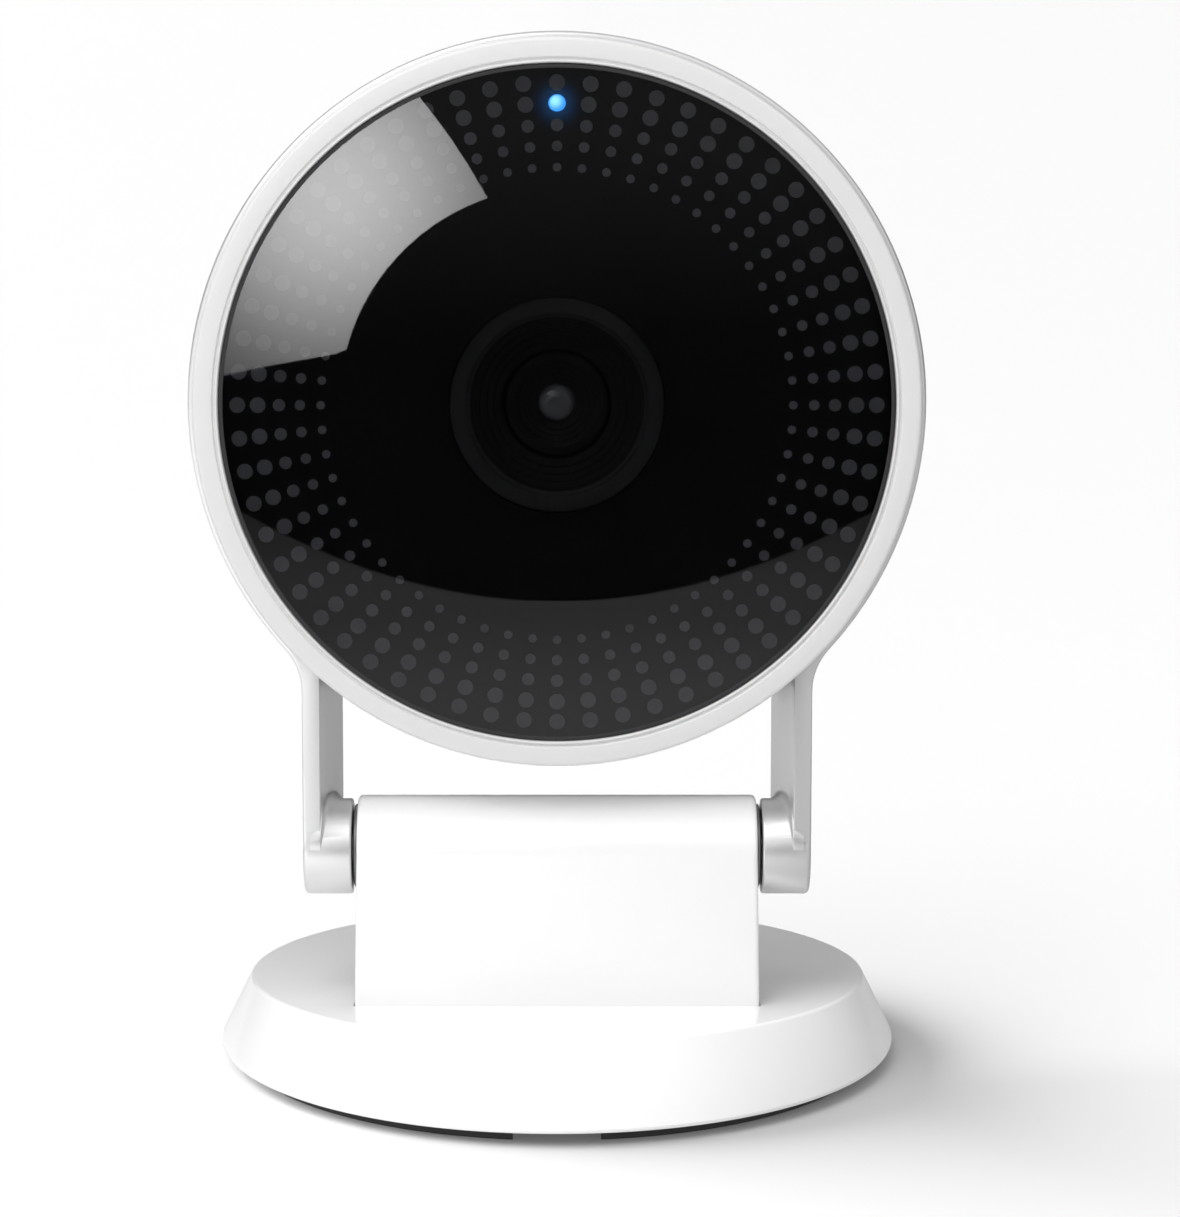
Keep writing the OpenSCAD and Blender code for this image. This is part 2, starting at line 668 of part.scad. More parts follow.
module speaker() color(black) on_lens_axis(-11.6) translate([0, speaker_u, 0]) difference() {
    union() {
        cylinder(r = speaker_r, h = 2.2);
        cylinder(r = 6, h = 4.3);
    }
    translate([0, 0, -1]) cylinder(r1 = 9.2, r2 = 4, h = 2.4);
}

module speaker_gasket() color(rubber) on_lens_axis(-12.1) translate([0, speaker_u, 0])
    ring(speaker_r - 0.2, speaker_r - 1.6, 0.5);

module usb_socket() color(steel) on_lens_axis(main_board_w - 6) translate([0, usb_u, 0]) difference() {
    block(2 * usb_x, 2 * usb_h, 6);
    difference() {
        translate([0, 0, -1]) block(2 * usb_x - 0.8, 2 * usb_h - 0.8, 6);
        translate([0, 0, 1]) block(2 * usb_x - 2.4, 0.8, 6);
    }
}

module card_socket() color(steel) on_lens_axis(card_w - 0.45) difference() {
    translate([-35.6, -card_half - 1, 0]) cube([12, 2 * card_half + 2, 2]);
    translate([-37, -card_half - 0.1, 0.35]) cube([12.3, 2 * card_half + 0.2, card_t + 0.3]);
}

module memory_card() color([0.08, 0.08, 0.09]) on_lens_axis(card_w) difference() {
    translate([card_out, -card_half, 0]) cube([card_len, 2 * card_half, card_t]);
    translate([card_out + card_len - 6, card_half - 1.2, -1]) cube([7, 2, 3]);
}

module reset_switch() color(black) on_lens_axis() translate([reset_x, reset_u, 0]) {
    translate([0, 0, main_board_w - 1.9]) block(4.5, 4.5, 1.9);
    translate([0, 0, main_board_w - 2.5]) cylinder(r = 1, h = 1);
}

module reset_button() color([0.75, 0.75, 0.75]) on_lens_axis() translate([reset_x, reset_u, 0]) {
    translate([0, 0, main_board_w - 2.6 - reset_travel - 4]) cylinder(r = reset_r, h = 4);
    translate([0, 0, -12.2]) cylinder(r = reset_r + 0.9, h = 0.7);
}

rubber_foot();
base_plate();
base_screws();
ballast_weight();
base_cover();
neck_core();
neck_screws();
neck_shell();
hinge_bushes();
hinge_collars();
spring_washers();
yoke_frame();
hinge_pin_left();
hinge_pin_right();
hinge_nuts();
boss_caps();
yoke_screws();
mid_frame();
bezel_ring();
rear_shell();
rear_screws();
front_glass();
dot_mask();
front_frame();
lens_trim();
lens_barrel();
lens_front();
lens_middle();
lens_rear();
lens_retainer();
lens_holder();
lens_screws();
filter_carriage();
ir_cut_filter();
clear_filter();
filter_coil();
image_sensor();
sensor_board();
sensor_flex();
led_board();
led_board_screws();
ir_leds();
status_led();
light_pipe();
led_flex();
main_board();
board_screws();
main_chip();
heat_sink();
rf_shield();
wifi_antenna();
microphone();
mic_boot();
speaker();
speaker_gasket();
usb_socket();
card_socket();
memory_card();
reset_switch();
reset_button();
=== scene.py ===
import json
import math

import bmesh
import bpy
from mathutils import Matrix, Vector


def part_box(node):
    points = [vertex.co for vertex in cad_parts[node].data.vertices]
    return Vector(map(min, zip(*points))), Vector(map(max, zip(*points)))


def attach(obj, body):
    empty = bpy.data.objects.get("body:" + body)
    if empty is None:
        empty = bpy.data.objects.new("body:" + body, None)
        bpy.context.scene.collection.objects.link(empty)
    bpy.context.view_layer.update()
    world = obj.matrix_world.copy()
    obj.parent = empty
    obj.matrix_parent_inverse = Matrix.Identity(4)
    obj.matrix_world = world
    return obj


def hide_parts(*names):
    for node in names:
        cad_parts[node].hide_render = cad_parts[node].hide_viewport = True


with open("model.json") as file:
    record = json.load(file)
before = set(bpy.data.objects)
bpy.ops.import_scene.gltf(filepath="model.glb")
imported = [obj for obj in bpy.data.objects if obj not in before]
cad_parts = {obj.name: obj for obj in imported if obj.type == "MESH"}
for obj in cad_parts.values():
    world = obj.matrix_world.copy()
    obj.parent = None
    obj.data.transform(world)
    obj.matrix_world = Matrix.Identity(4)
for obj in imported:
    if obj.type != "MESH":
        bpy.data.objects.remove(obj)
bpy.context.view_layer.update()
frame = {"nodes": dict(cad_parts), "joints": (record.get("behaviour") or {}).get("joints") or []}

scene = bpy.context.scene

# ---- Studio ---- A pale painted floor, a soft white room, a wide soft light from the upper left and a
# lamp for the floor.
MM = 0.001


class Feed:
    """A value in a material. Arithmetic on it adds Math nodes, and node() adds any other node."""

    def __init__(self, socket):
        self.socket, self.tree = socket, socket.id_data

    def node(self, kind, sockets, settings=(), output=0):
        made = self.tree.nodes.new("ShaderNode" + kind)
        for name, value in dict(settings).items():
            setattr(made, name, value)
        for name, value in sockets.items():
            if isinstance(value, Feed):
                self.tree.links.new(value.socket, made.inputs[name])
            else:
                made.inputs[name].default_value = value
        return Feed(made.outputs[output])

    def math(self, operation, *values):
        return self.node("Math", dict(enumerate(values)), {"operation": operation})

    def __add__(self, other):
        return self.math("ADD", self, other)

    def __sub__(self, other):
        return self.math("SUBTRACT", self, other)

    def __rsub__(self, other):
        return self.math("SUBTRACT", other, self)

    def __mul__(self, other):
        return self.math("MULTIPLY", self, other)

    def __truediv__(self, other):
        return self.math("DIVIDE", self, other)

    __radd__, __rmul__ = __add__, __mul__

    def noise(self, size, detail=2.0):
        return self.node("TexNoise", {"Vector": self, "Scale": 1 / (size * MM), "Detail": detail})

    def ramp(self, start, end):
        return self.node("MapRange", {"Value": self, "From Min": start, "From Max": end},
                         {"interpolation_type": "SMOOTHSTEP"})

    def tint(self, low, high):
        low, high = [end if isinstance(end, Feed) else (*end, 1) for end in (low, high)]
        return self.node("Mix", {0: self, 6: low, 7: high}, {"data_type": "RGBA"}, 2)

    def part(self, axis):
        return self.node("SeparateXYZ", {0: self}, output="XYZ".index(axis))

    def distance(self, point):
        return self.node("VectorMath", {0: self, 1: tuple(point)}, {"operation": "DISTANCE"}, 1)


class Finish:
    """A surface: its constant sockets are set here, and feed() links what changes over it."""

    def __init__(self, name, colour, roughness, **sockets):
        self.material = bpy.data.materials.new(name)
        self.material.use_nodes = True
        self.shader = self.material.node_tree.nodes["Principled BSDF"]
        self.spot = Feed(self.material.node_tree.nodes.new("ShaderNodeTexCoord").outputs["Object"])
        self.colour, self.roughness = colour, roughness
        sockets = {"Base Color": (*colour, 1), "Roughness": roughness, **sockets}
        for name, value in sockets.items():
            self.shader.inputs[name.replace("_", " ")].default_value = value

    def feed(self, name, value):
        self.material.node_tree.links.new(value.socket, self.shader.inputs[name])
        return self

    def grained(self, size, depth, mottle=0.03, spread=0.06):
        """Fine grain `size` mm across and `depth` mm deep, with slow colour and gloss changes."""
        fine, slow = self.spot.noise(size), self.spot.noise(size * 45, 4.0)
        shade = [tuple(min(1, c * k) for c in self.colour) for k in (1 - mottle, 1 + mottle)]
        self.feed("Base Color", slow.tint(*shade))
        self.feed("Roughness", self.roughness - spread / 2 + slow * (spread / 2) + fine * (spread / 2))
        return self.feed("Normal", self.spot.node(
            "Bump", {"Height": fine, "Distance": depth * MM, "Strength": 1.0}))


def linked(name, data):
    made = bpy.data.objects.new(name, data)
    scene.collection.objects.link(made)
    return made


def set_seen(made, *kinds):
    for kind in ("camera", "diffuse", "glossy", "transmission", "volume_scatter", "shadow"):
        setattr(made, "visible_" + kind, kind in kinds)


def plain_mesh(name, shape, material):
    mesh = bpy.data.meshes.new(name)
    shape.to_mesh(mesh)
    shape.free()
    mesh.materials.append(material)
    return linked(name, mesh)


def glow(name, colour, strength):
    """A material that only shines."""
    made = Finish(name, (0, 0, 0), 1.0, Emission_Strength=strength, Specular_IOR_Level=0.0)
    made.shader.inputs["Emission Color"].default_value = (*colour, 1)
    return made


camera = linked("camera", bpy.data.cameras.new("camera"))
camera.location = (0, -0.4224, 0.1247)
camera.rotation_euler = (math.radians(90 - 9.74), 0, 0)
camera.data.lens, camera.data.sensor_width = 109.45, 36
camera.data.shift_x = 0.0271
camera.data.clip_start = 0.01
scene.camera = camera

scene.view_settings.view_transform = "Standard"
scene.world = bpy.data.worlds.new("room")
scene.world.use_nodes = True
room = scene.world.node_tree.nodes["Background"]
room.inputs["Color"].default_value = (1, 1, 1, 1)
gaze = Feed(scene.world.node_tree.nodes.new("ShaderNodeTexCoord").outputs["Generated"])
from_front, from_left, from_above = gaze.part("Y") * -1.0, gaze.part("X") * -1.0, gaze.part("Z")
gloss = from_front.ramp(0.0, 0.95) * 0.75 + from_above.ramp(0.1, 0.85) * 0.6 + from_left.ramp(0.2, 0.9) * 0.2
seen = gaze.node("LightPath", {})
is_gloss = gaze.node("LightPath", {}, output=3)
soft = 0.16 + from_front.ramp(-0.4, 1.0) * 0.26 + from_above.ramp(-0.1, 1.0) * 0.62
level = seen + (1 - seen) * (is_gloss * (0.03 + gloss) + (1 - is_gloss) * soft)
scene.world.node_tree.links.new(level.socket, room.inputs["Strength"])

sun = linked("window", bpy.data.lights.new("window", "SUN"))
sun.data.energy, sun.data.angle = 1.2, math.radians(50)
sun.rotation_euler = Vector((0.4, 0.3, -1.0)).to_track_quat("-Z", "Y").to_euler()
sun.visible_glossy = False
softbox = linked("softbox", bpy.data.lights.new("softbox", "AREA"))
softbox.data.shape, softbox.data.size, softbox.data.energy = "DISK", 0.2, 0.26
softbox.location = (-0.11, -0.21, 0.27)
softbox.rotation_euler = (Vector((0, 0, 0.07)) - softbox.location).to_track_quat("-Z", "Y").to_euler()
softbox.visible_camera = False

shape = bmesh.new()
bmesh.ops.create_circle(shape, cap_ends=True, segments=96, radius=40.0)
floor = plain_mesh("floor", shape, Finish("floor_paint", (0.42, 0.42, 0.42), 0.9, Specular_IOR_Level=0.1,
                                           Emission_Color=(1, 1, 1, 1), Emission_Strength=0.06)
                   .grained(1.5, 0.01, 0.004).material)

# a second lamp lights only the floor, and only the stand blocks it
lit_floor, on_floor = bpy.data.collections.new("lit_floor"), bpy.data.collections.new("shadow_makers")
lit_floor.objects.link(floor)
floor_lamp = linked("floor_lamp", bpy.data.lights.new("floor_lamp", "SUN"))
floor_lamp.data.energy, floor_lamp.data.angle = 9.2, math.radians(50)
floor_lamp.rotation_euler = Vector((1.0, -0.4, -0.45)).to_track_quat("-Z", "Y").to_euler()
floor_lamp.light_linking.receiver_collection = lit_floor
floor_lamp.light_linking.blocker_collection = on_floor

# a cloth hung behind the camera, which only gloss sees: black with a faint grey top, it keeps the glass dark,
# and the curved edge of its dim grey hem lies across the lower part of the glass
cloth_y, hem_half, hem_bow = -0.512, 0.114, 0.031
shape = bmesh.new()
bmesh.ops.create_grid(shape, x_segments=32, y_segments=1, size=0.5)
bmesh.ops.scale(shape, vec=(0.29, 0.4, 1), verts=shape.verts)
bmesh.ops.rotate(shape, matrix=Matrix.Rotation(math.radians(90), 3, "X"), verts=shape.verts)
bmesh.ops.translate(shape, vec=(0, cloth_y, 0.01), verts=shape.verts)
cloth = glow("cloth_black", (0, 0, 0), 1.0)
side_on = cloth.spot.part("X") / hem_half
hem = cloth.spot.part("Z") - side_on * side_on * hem_bow
grey_hem = cloth.spot.part("Z").ramp(0.0, 0.03).tint((0.3, 0.3, 0.305), (0.17, 0.17, 0.175))
upper = cloth.spot.part("Z").ramp(0.085, 0.2).tint((0.004, 0.004, 0.004), (0.1, 0.1, 0.1))
cloth.feed("Emission Color", hem.ramp(-0.0006, 0.0006).tint(grey_hem, upper))
set_seen(plain_mesh("black_cloth", shape, cloth.material), "glossy")
shape = bmesh.new()
for back, height in ((-0.515, 0.05), (-0.336, 0.0004)):
    rows = bmesh.ops.create_grid(shape, x_segments=1, y_segments=1, size=0.5)["verts"]
    upright = height > 0.01
    bmesh.ops.scale(shape, vec=(0.5, 0.46 if upright else 0.36, 1), verts=rows)
    bmesh.ops.rotate(shape, matrix=Matrix.Rotation(math.radians(90 * upright), 3, "X"), verts=rows)
    bmesh.ops.translate(shape, vec=(0, back, height), verts=rows)
set_seen(plain_mesh("dark_room", shape, glow("room_black", (0, 0, 0), 0.0).material), "transmission")

# gloss sees the floor bright under the object and dim further out
floor.visible_glossy = False
shape = bmesh.new()
bmesh.ops.create_circle(shape, cap_ends=True, segments=64, radius=20.0)
bmesh.ops.translate(shape, vec=(0, 0, 0.0002), verts=shape.verts)
ground = glow("gloss_floor", (0, 0, 0), 1.0)
ground_x, ground_y = ground.spot.part("X"), ground.spot.part("Y") * -1.0
dim = ground_y.ramp(0.19, 0.23) * (1 - ground_x.math("ABSOLUTE", ground_x).ramp(0.12, 0.14))
near_floor = ground_x.ramp(-0.07, 0.07).tint((1.7, 1.7, 1.7), (0.6, 0.6, 0.6))
back_floor = ground_x.ramp(-0.07, 0.07).tint((0.7, 0.7, 0.7), (0.42, 0.42, 0.42))
open_floor = ground_y.ramp(-0.05, 0.1).tint(back_floor, near_floor)
far_floor = ground_y.ramp(0.22, 0.5).tint((0.5, 0.5, 0.51), (0.3, 0.3, 0.305))
ground.feed("Emission Color", dim.tint(open_floor, far_floor))
set_seen(plain_mesh("gloss_floor", shape, ground.material), "glossy")

# ---- Rubber foot ----
# A ring of dark rubber under the base, with a gap at its front, pressed into the base plate.
# Every turned or cut piece is made with the functions here, in millimetres, and placed once.
on_table = Matrix.Scale(MM, 4)


def rounded(corners, steps=5):
    """The points of a closed outline whose corners (r, w, radius) are turned into arcs."""
    points = []
    for i, corner in enumerate(corners):
        here = Vector((corner[0], corner[1], 0))
        radius = corner[2] if len(corner) > 2 else 0
        if not radius:
            points.append(here)
            continue
        back = Vector((*corners[i - 1][:2], 0)) - here
        on = Vector((*corners[(i + 1) % len(corners)][:2], 0)) - here
        half = back.angle(on) / 2
        cut = min(radius / math.tan(half), 0.48 * back.length, 0.48 * on.length)
        centre = here + (back.normalized() + on.normalized()).normalized() * (cut / math.cos(half))
        start, end = here + back.normalized() * cut - centre, here + on.normalized() * cut - centre
        points += [centre + start.slerp(end, k / steps) * start.length for k in range(steps + 1)]
    return points


def loop_of(shape, points):
    """A closed loop of edges through the points."""
    corners = [shape.verts.new(p) for p in points]
    return [shape.edges.new((corners[i - 1], corners[i])) for i in range(len(corners))]


def tidy(shape, gap=0.002):
    bmesh.ops.remove_doubles(shape, verts=shape.verts, dist=gap)
    bmesh.ops.dissolve_degenerate(shape, edges=shape.edges, dist=gap / 2)
    bmesh.ops.delete(shape, geom=[e for e in shape.edges if not e.link_faces], context="EDGES")
    bmesh.ops.recalc_face_normals(shape, faces=shape.faces)
    return shape


def turned(corners, segments=180, steps=5):
    """A solid turned about Z from an outline of (radius, height, corner radius)."""
    shape = bmesh.new()
    edges = loop_of(shape, [(p.x, 0, p.y) for p in rounded(corners, steps)])
    bmesh.ops.spin(shape, geom=list(shape.verts) + edges, cent=(0, 0, 0), axis=(0, 0, 1), dvec=(0, 0, 0),
                   angle=math.tau, steps=segments, use_merge=True, use_duplicate=False)
    return tidy(shape)


def slab(x0, x1, y0, y1, z0, z1, edge=0.0, steps=2):
    """A block between two corners, with its edges bevelled."""
    shape = bmesh.new()
    bmesh.ops.create_cube(shape, size=1)
    bmesh.ops.scale(shape, vec=(x1 - x0, y1 - y0, z1 - z0), verts=shape.verts)
    bmesh.ops.translate(shape, vec=((x0 + x1) / 2, (y0 + y1) / 2, (z0 + z1) / 2), verts=shape.verts)
    if edge:
        bmesh.ops.bevel(shape, geom=list(shape.edges), offset=edge, segments=steps, profile=0.5,
                        affect="EDGES", material=-1)
    return shape


def moved(shape, *matrices):
    """One shape that holds a copy at each matrix."""
    mesh, out = bpy.data.meshes.new("work"), bmesh.new()
    shape.to_mesh(mesh)
    shape.free()
    for matrix in matrices:
        copy = mesh.copy()
        copy.transform(matrix, shape_keys=False)
        out.from_mesh(copy)
        bpy.data.meshes.remove(copy)
    bpy.data.meshes.remove(mesh)
    return out


def turn(degrees, axis="Z"):
    return Matrix.Rotation(math.radians(degrees), 4, axis)


def shift(x=0.0, y=0.0, z=0.0):
    return Matrix.Translation((x, y, z))


def ring_of(radius, angles, z=0.0):
    return [turn(a) @ shift(radius, 0, z) for a in angles]


def combine(solid, tool, operation):
    """Joins or cuts two closed shapes."""
    pair = []
    for part in (solid, tool):
        mesh = bpy.data.meshes.new("work")
        part.to_mesh(mesh)
        part.free()
        pair.append(linked("work", mesh))
    boolean = pair[0].modifiers.new("join", "BOOLEAN")
    boolean.operation, boolean.object, boolean.solver = operation, pair[1], "EXACT"
    bpy.context.view_layer.update()
    out = bmesh.new()
    out.from_object(pair[0], bpy.context.evaluated_depsgraph_get())
    for part in pair:
        mesh = part.data
        bpy.data.objects.remove(part)
        bpy.data.meshes.remove(mesh)
    return out


def piece(name, shape, place, surface, body, replaces=(), crease=32):
    """Finishes a shape as a piece: smooth but for its creases, in place, riding on its body."""
    made = plain_mesh(name, shape, surface.material)
    made.data.transform(place)
    if place.determinant() < 0:
        made.data.flip_normals()
    made.data.shade_smooth()
    made.data.set_sharp_from_angle(angle=math.radians(crease))
    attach(made, body)
    if replaces:
        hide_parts(*replaces)
    return made


def dress(surface, *names):
    """Gives CAD nodes a surface."""
    for name in names:
        for holder in frame["nodes"][name].material_slots:
            holder.material = surface.material


foot_r, foot_in, foot_t, notch = 37.1, 29.5, 1.5, 4.8
foot_rubber = Finish("foot_rubber", (0.018, 0.018, 0.019), 0.78).grained(0.35, 0.02)
shape = turned([(foot_in, 0, 0.3), (foot_r, 0, 0.4), (foot_r, foot_t, 0), (foot_in, foot_t, 0)])
shape = combine(shape, slab(-notch, notch, -foot_r - 2, -foot_in + 2, -1, foot_t + 1, 0.4), "DIFFERENCE")
piece("foot_ring", shape, on_table, foot_rubber, "stand", ["rubber_foot"])

# ---- Base plate, ballast and their screws ----
# A black moulded plate closes the base from below, under a steel disc that keeps the stand upright.
# Three screws hold it to the cover and two more pull the neck's core down on to it.
black_plastic = Finish("black_plastic", (0.022, 0.022, 0.024), 0.5).grained(0.3, 0.012)
steel = Finish("steel_fasteners", (0.55, 0.55, 0.56), 0.32, Metallic=1.0).grained(0.12, 0.003, 0.05, 0.12)
zinc = Finish("zinc_core", (0.48, 0.48, 0.49), 0.46, Metallic=0.9).grained(0.5, 0.02, 0.08, 0.15)
dress(black_plastic, "base_plate")
dress(steel, "base_screws", "neck_screws")
dress(zinc, "ballast_weight", "neck_core")

# ---- Base cover ----
# One white moulding in gloss-painted plastic: a conical side and a flat top that rises to the front.
# It is hollow, with a seat for the base plate and a slot for the neck; the three screw posts under its rim
# are left out of this piece.
base_r, cover_edge, lean_in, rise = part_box("base_cover")[1].x / MM, 0.4, 0.49, math.radians(2.7)
top_mid, wall, neck_y = 9.0, 1.8, -13.0
slot_x, slot_y, corner_round = 22.98, 5.78, 0.55
plate_r, plate_top = foot_r + 0.15, 2.95
white_stand = Finish("white_stand", (0.9, 0.9, 0.9), 0.24, Coat_Weight=0.35, Coat_Roughness=0.12)
white_stand.grained(0.6, 0.0012, 0.006, 0.04)


def cover_body(inset, crown):
    """The cover's outer form, or its inner one when inset, cut by the sloping top."""
    low, high = foot_t - (1.0 if inset else 0.0), top_mid + 4
    full = base_r - inset
    shape = turned([(0, low), (full, low, 0.15), (full, foot_t + cover_edge, 0.3),
                    (full - lean_in * (high - foot_t - cover_edge), high), (0, high)], 240)
    slope = Vector((0, math.sin(rise), math.cos(rise)))
    cut = bmesh.ops.bisect_plane(shape, geom=list(shape.verts) + list(shape.edges) + list(shape.faces),
                                 plane_co=(0, 0, top_mid - inset), plane_no=slope, clear_outer=True)
    rim = [e for e in cut["geom_cut"] if isinstance(e, bmesh.types.BMEdge)]
    bmesh.ops.holes_fill(shape, edges=rim, sides=0)
    if crown:
        bmesh.ops.bevel(shape, geom=[e for e in shape.edges if e.is_valid and e in rim], offset=crown,
                        segments=4, profile=0.5, affect="EDGES", material=-1)
    bmesh.ops.recalc_face_normals(shape, faces=shape.faces)
    return shape


shape = combine(cover_body(0, 0.35), cover_body(wall, 0), "DIFFERENCE")
plate_seat = turned([(0, 0), (plate_r, 0), (plate_r, plate_top), (0, plate_top)], 120)
shape = combine(shape, plate_seat, "DIFFERENCE")
slot = slab(-slot_x, slot_x, -slot_y, slot_y, 0, 20)
upright = [e for e in slot.edges if abs(e.verts[0].co.z - e.verts[1].co.z) > 1]
bmesh.ops.bevel(slot, geom=upright, offset=corner_round, segments=6, profile=0.5, affect="EDGES",
                material=-1)
shape = combine(shape, moved(slot, shift(0, neck_y, 1)), "DIFFERENCE")
on_floor.objects.link(piece("cover", shape, on_table, white_stand, "stand", ["base_cover"]))

# ---- Neck ----
# A white moulding that carries the hinge barrel on top, in the same painted plastic as the cover.
# Its side is one outline drawn along the barrel, narrowed a little upwards, with rounded ends.
hinge = Vector(next(j for j in frame["joints"] if j["name"] == "head_tilt")["pos_m"]) / MM
neck_r, neck_low, neck_foot, barrel_half = 5.8, 2.9, 23.0, 22.5
shape = bmesh.new()
outline = [(neck_r, neck_low)] + [(neck_r * math.cos(a), hinge.z + neck_r * math.sin(a))
                                  for a in [math.pi * k / 40 for k in range(41)]] + [(-neck_r, neck_low)]
edges = loop_of(shape, [(-1, y, z) for y, z in outline])
side = bmesh.ops.contextual_create(shape, geom=edges)["faces"]
far = bmesh.ops.extrude_face_region(shape, geom=side)["geom"]
bmesh.ops.translate(shape, vec=(2, 0, 0), verts=[v for v in far if isinstance(v, bmesh.types.BMVert)])
tidy(shape)
for vert in shape.verts:
    up = min(1, max(0, (vert.co.z - top_mid) / (hinge.z - neck_r - top_mid)))
    vert.co.x *= neck_foot + (barrel_half - neck_foot) * up
ends = [e for e in shape.edges if abs(e.verts[0].co.x - e.verts[1].co.x) < 2 and e.calc_length() < 30
        and len({round(f.normal.x) for f in e.link_faces}) > 1]
bmesh.ops.bevel(shape, geom=ends, offset=corner_round, segments=6, profile=0.5, affect="EDGES",
                material=-1)
inside = slab(-18.15, 18.15, -3.85, 3.85, neck_low - 1, hinge.z - 7.45)
shape = combine(shape, inside, "DIFFERENCE")
bore = moved(turned([(0, 9), (3.4, 9), (3.4, 30), (0, 30)], 48), shift(0, 0, hinge.z) @ turn(90, "Y"),
             shift(0, 0, hinge.z) @ turn(-90, "Y"))
shape = combine(shape, bore, "DIFFERENCE")
at_neck = on_table @ shift(0, hinge.y, 0)
on_floor.objects.link(piece("neck", shape, at_neck, white_stand, "stand", ["neck_shell"]))

# ---- Hinge ----
# Two steel pins turn in bronze bushes in the barrel. Spring washers under a nut give the friction that
# holds the head, and a grey washer-like collar fills the gap between the barrel and each boss.
bronze = Finish("bronze", (0.5, 0.33, 0.14), 0.4, Metallic=1.0).grained(0.2, 0.006, 0.08, 0.15)
collar_grey = Finish("collar_grey", (0.2, 0.2, 0.205), 0.35, Metallic=0.6).grained(0.2, 0.004)
dress(bronze, "hinge_bushes")
dress(steel, "spring_washers", "hinge_pin_left", "hinge_pin_right", "hinge_nuts")
collar = turned([(2.3, 0, 0.1), (4.75, 0, 0.12), (4.75, 0.3, 0.1), (4.3, 0.45, 0.08), (2.3, 0.45, 0.05)], 96)
collar = moved(collar, shift(0, hinge.y, hinge.z) @ turn(90, "Y") @ shift(0, 0, barrel_half),
               shift(0, hinge.y, hinge.z) @ turn(-90, "Y") @ shift(0, 0, barrel_half))
piece("collars", collar, on_table, collar_grey, "stand", ["hinge_collars"])

# ---- Yoke ----
# One die-cast band and two legs in satin silver paint, with a boss at the foot of each leg.
# Each leg is hollowed on its inner face, and a raised fillet sweeps from that hollow over the boss.
forward = -Vector(next(j for j in frame["joints"] if j["name"] == "reset_press")["axis"]).normalized()
if forward.y > 0:
    forward = -forward
across = Vector((1, 0, 0))
upward = forward.cross(across)
centre = sum(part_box("lens_retainer"), Vector()) / 2 / MM
head_rise = (centre - hinge).dot(upward)
at_hinge = on_table @ Matrix.Translation(hinge) @ Matrix((across, upward, forward)).transposed().to_4x4()
in_head = at_hinge @ shift(0, head_rise, 0)

band_r, band_t, half_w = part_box("yoke_frame")[1].x / MM, 2.4, 5.25
leg_x, fillet_r, front_w, rear_w, leg_hollow = 28.5, 7.0, 2.0, 4.0, 0.75
boss_in, boss_r = 23.1, 5.4
fillet_y = head_rise - math.sqrt((band_r + fillet_r) ** 2 - (leg_x + fillet_r) ** 2)
fillet_from = math.atan2(fillet_y - head_rise, leg_x + fillet_r)
band_in = band_r - band_t


def on_circle(x, y, radius, angle):
    return Vector((x + radius * math.cos(angle), y + radius * math.sin(angle)))


def leg_inner(w):
    """The x of the leg's inner face, w forward of the hinge: it is hollow behind its front edge."""
    t = (half_w - w) / (2 * half_w)
    hollow = leg_hollow * math.sin(math.pi * min(1, t * 1.15)) ** 2 * (1 - t)
    return leg_x - front_w - (rear_w - front_w) * t + hollow


def station(outer, inner_front, inner_rear, depth=0.0):
    """One cross-section of the yoke, rounded outside, crisp at its inner front edge, hollowed by depth."""
    points = []
    inward = (inner_front - outer).normalized()
    for a in [math.pi / 2 * k / 4 for k in range(5)]:
        points.append((outer + inward * 0.35 * (1 - math.sin(a)), -half_w + 0.35 * (1 - math.cos(a))))
    for a in [math.pi / 2 * k / 4 for k in range(5)]:
        points.append((outer + inward * 0.4 * (1 - math.cos(a)), half_w - 0.4 * (1 - math.sin(a))))
    points.append((inner_front - inward * 0.1, half_w))
    for k in range(13):
        t = k / 12
        base = inner_front.lerp(inner_rear, t)
        w = half_w - 0.1 - (2 * half_w - 0.2) * t
        hollow = leg_inner(w) - (leg_x - front_w - (rear_w - front_w) * (half_w - w) / (2 * half_w))
        points.append((base - inward * hollow * depth, w))
    points.append((inner_rear - inward * 0.25, -half_w))
    return [Vector((p.x, p.y, w)) for p, w in points]


stations = []
for k in range(76):
    a = math.pi / 2 + (fillet_from - math.pi / 2) * k / 75
    inner = on_circle(0, head_rise, band_in, a)
    stations.append(station(on_circle(0, head_rise, band_r, a), inner, inner))
front_end = -math.acos((leg_x - front_w) / band_in)
rear_end = -math.acos((leg_x - rear_w) / band_in)
for k in range(1, 15):
    t = k / 14
    outer = on_circle(leg_x + fillet_r, fillet_y, fillet_r, fillet_from + math.pi + (-fillet_from) * t)
    front = on_circle(0, head_rise, band_in, fillet_from + (front_end - fillet_from) * t)
    rear = on_circle(0, head_rise, band_in, fillet_from + (rear_end - fillet_from) * t)
    stations.append(station(outer, front, rear))
top_front = on_circle(0, head_rise, band_in, front_end)
top_rear = on_circle(0, head_rise, band_in, rear_end)
for k in range(1, 25):
    t = k / 24
    stations.append(station(Vector((leg_x, fillet_y * (1 - t))), Vector((top_front.x, top_front.y * (1 - t))),
                            Vector((top_rear.x, top_rear.y * (1 - t))), min(1, t * 5)))
mirrored = [[Vector((-p.x, p.y, p.z)) for p in points] for points in stations[:0:-1]]


